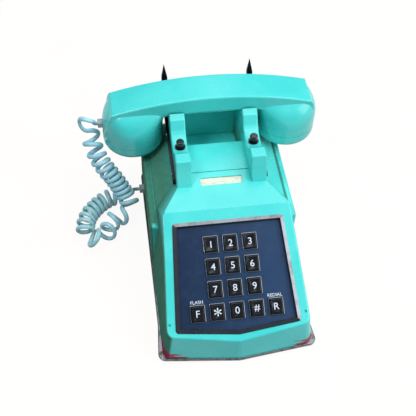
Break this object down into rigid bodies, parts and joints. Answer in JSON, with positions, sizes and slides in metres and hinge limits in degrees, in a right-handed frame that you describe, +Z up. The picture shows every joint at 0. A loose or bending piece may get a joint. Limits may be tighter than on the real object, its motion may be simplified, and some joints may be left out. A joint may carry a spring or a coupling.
{
  "type": "push-button desk telephone",
  "caption": "Turquoise push-button desk telephone with a sloping navy keypad, cradle forks, rear fins, an arched handset behind the forks and a curly cord.",
  "frame": {"origin": "on the table under the middle of the telephone's box, without its cord", "axes": "+Z up, the keypad faces -Y, the rear is at +Y, +X is the telephone's right as its user sees it"},
  "size_m": [0.2447, 0.2459, 0.14],
  "materials": {
    "turquoise_shell": "glossy moulded plastic with light wear",
    "cream_plate": "painted steel",
    "black_rubber": "matt rubber",
    "chrome_trim": "bright chrome plating",
    "blackened_steel": "blackened bright steel",
    "silver_frame": "satin silver",
    "navy_face": "glossy navy panel",
    "black_gloss": "glossy black plastic",
    "black_plastic": "matt black plastic",
    "clear_window": "clear plastic window",
    "cream_card": "plain card",
    "steel": "zinc plated",
    "board_green": "solder resist",
    "copper_coil": "enamelled wire",
    "bell_brass": "polished",
    "pale_cord": "semi-gloss vinyl",
    "clear_plug": "clear moulded plastic"
  },
  "bodies": {
    "base": {"housing": "turquoise_shell", "base_plate": "cream_plate", "rubber_feet": "black_rubber", "keypad_mat": "black_rubber", "keypad_bezel": "chrome_trim", "cradle_fin_left": "blackened_steel", "cradle_fin_right": "blackened_steel", "key_frames": "silver_frame", "faceplate": "navy_face", "plunger_bushes": "black_gloss", "card_window": "clear_window", "number_card": "cream_card", "base_screws": "steel", "keypad_screws": "steel", "fin_screws": "steel", "hook_pin": "steel", "hook_bracket": "steel", "hook_spring": "steel", "ringer_frame": "steel", "clapper_pin": "steel", "gong_screws": "steel", "volume_pin": "steel", "hook_switch": "black_plastic", "handset_jack": "black_plastic", "line_jack": "black_plastic", "capacitors": "black_plastic", "keypad_board": "board_green", "main_board": "board_green", "network_coil": "copper_coil", "ringer_coil": "copper_coil", "gong_large": "bell_brass", "gong_small": "bell_brass", "handset_cord": "pale_cord", "cord_plug_base": "clear_plug"},
    "handset": {"handset_shell": "turquoise_shell", "earpiece_cap": "turquoise_shell", "mouthpiece_cap": "turquoise_shell", "receiver_capsule": "black_plastic", "transmitter_capsule": "black_plastic", "handset_socket": "black_plastic", "cord_plug_handset": "clear_plug"},
    "key_1": {"key_1": "black_gloss"},
    "key_2": {"key_2": "black_gloss"},
    "key_3": {"key_3": "black_gloss"},
    "key_4": {"key_4": "black_gloss"},
    "key_5": {"key_5": "black_gloss"},
    "key_6": {"key_6": "black_gloss"},
    "key_7": {"key_7": "black_gloss"},
    "key_8": {"key_8": "black_gloss"},
    "key_9": {"key_9": "black_gloss"},
    "key_star": {"key_star": "black_gloss"},
    "key_0": {"key_0": "black_gloss"},
    "key_hash": {"key_hash": "black_gloss"},
    "key_flash": {"key_flash": "black_gloss"},
    "key_redial": {"key_redial": "black_gloss"},
    "plunger_left": {"plunger_left": "black_gloss"},
    "plunger_right": {"plunger_right": "black_gloss"},
    "hook_lever": {"hook_lever": "steel"},
    "clapper": {"clapper": "steel"},
    "volume_wheel": {"volume_wheel": "black_plastic"}
  },
  "joints": [
    {"name": "key_1_press", "type": "slide", "parent": "base", "child": "key_1", "axis": [0, 0.518, -0.8554], "range_m": [0, 0.002], "stiffness_N_per_m": 250},
    {"name": "key_2_press", "type": "slide", "parent": "base", "child": "key_2", "axis": [0, 0.518, -0.8554], "range_m": [0, 0.002], "stiffness_N_per_m": 250},
    {"name": "key_3_press", "type": "slide", "parent": "base", "child": "key_3", "axis": [0, 0.518, -0.8554], "range_m": [0, 0.002], "stiffness_N_per_m": 250},
    {"name": "key_4_press", "type": "slide", "parent": "base", "child": "key_4", "axis": [0, 0.518, -0.8554], "range_m": [0, 0.002], "stiffness_N_per_m": 250},
    {"name": "key_5_press", "type": "slide", "parent": "base", "child": "key_5", "axis": [0, 0.518, -0.8554], "range_m": [0, 0.002], "stiffness_N_per_m": 250},
    {"name": "key_6_press", "type": "slide", "parent": "base", "child": "key_6", "axis": [0, 0.518, -0.8554], "range_m": [0, 0.002], "stiffness_N_per_m": 250},
    {"name": "key_7_press", "type": "slide", "parent": "base", "child": "key_7", "axis": [0, 0.518, -0.8554], "range_m": [0, 0.002], "stiffness_N_per_m": 250},
    {"name": "key_8_press", "type": "slide", "parent": "base", "child": "key_8", "axis": [0, 0.518, -0.8554], "range_m": [0, 0.002], "stiffness_N_per_m": 250},
    {"name": "key_9_press", "type": "slide", "parent": "base", "child": "key_9", "axis": [0, 0.518, -0.8554], "range_m": [0, 0.002], "stiffness_N_per_m": 250},
    {"name": "key_star_press", "type": "slide", "parent": "base", "child": "key_star", "axis": [0, 0.518, -0.8554], "range_m": [0, 0.002], "stiffness_N_per_m": 250},
    {"name": "key_0_press", "type": "slide", "parent": "base", "child": "key_0", "axis": [0, 0.518, -0.8554], "range_m": [0, 0.002], "stiffness_N_per_m": 250},
    {"name": "key_hash_press", "type": "slide", "parent": "base", "child": "key_hash", "axis": [0, 0.518, -0.8554], "range_m": [0, 0.002], "stiffness_N_per_m": 250},
    {"name": "key_flash_press", "type": "slide", "parent": "base", "child": "key_flash", "axis": [0, 0.518, -0.8554], "range_m": [0, 0.002], "stiffness_N_per_m": 250},
    {"name": "key_redial_press", "type": "slide", "parent": "base", "child": "key_redial", "axis": [0, 0.518, -0.8554], "range_m": [0, 0.002], "stiffness_N_per_m": 250},
    {"name": "plunger_left_press", "type": "slide", "parent": "base", "child": "plunger_left", "axis": [0, 0, -1], "range_m": [0, 0.006], "stiffness_N_per_m": 120},
    {"name": "plunger_right_press", "type": "slide", "parent": "base", "child": "plunger_right", "axis": [0, 0, -1], "range_m": [0, 0.006]},
    {"name": "hook_lever_turn", "type": "hinge", "parent": "base", "child": "hook_lever", "pos_m": [0, 0.024, 0.0785], "axis": [-1, 0, 0], "range_deg": [0, 17.2]},
    {"name": "handset_lift", "type": "slide", "parent": "base", "child": "handset", "axis": [0, 0, 1], "range_m": [0, 0.12]},
    {"name": "clapper_swing", "type": "hinge", "parent": "base", "child": "clapper", "pos_m": [0, 0.039, 0.0137], "axis": [0, 0, 1], "range_deg": [-5.5, 5.5], "stiffness_Nm_per_rad": 0.02},
    {"name": "volume_turn", "type": "hinge", "parent": "base", "child": "volume_wheel", "pos_m": [0.059, 0.037, 0.016], "axis": [0, 0, 1], "range_deg": [-135, 135]}
  ],
  "couplings": [
    {"joint": "plunger_right_press", "follows": "plunger_left_press", "ratio": 1},
    {"joint": "hook_lever_turn", "follows": "plunger_left_press", "rad_per_m": 49.4}
  ]
}
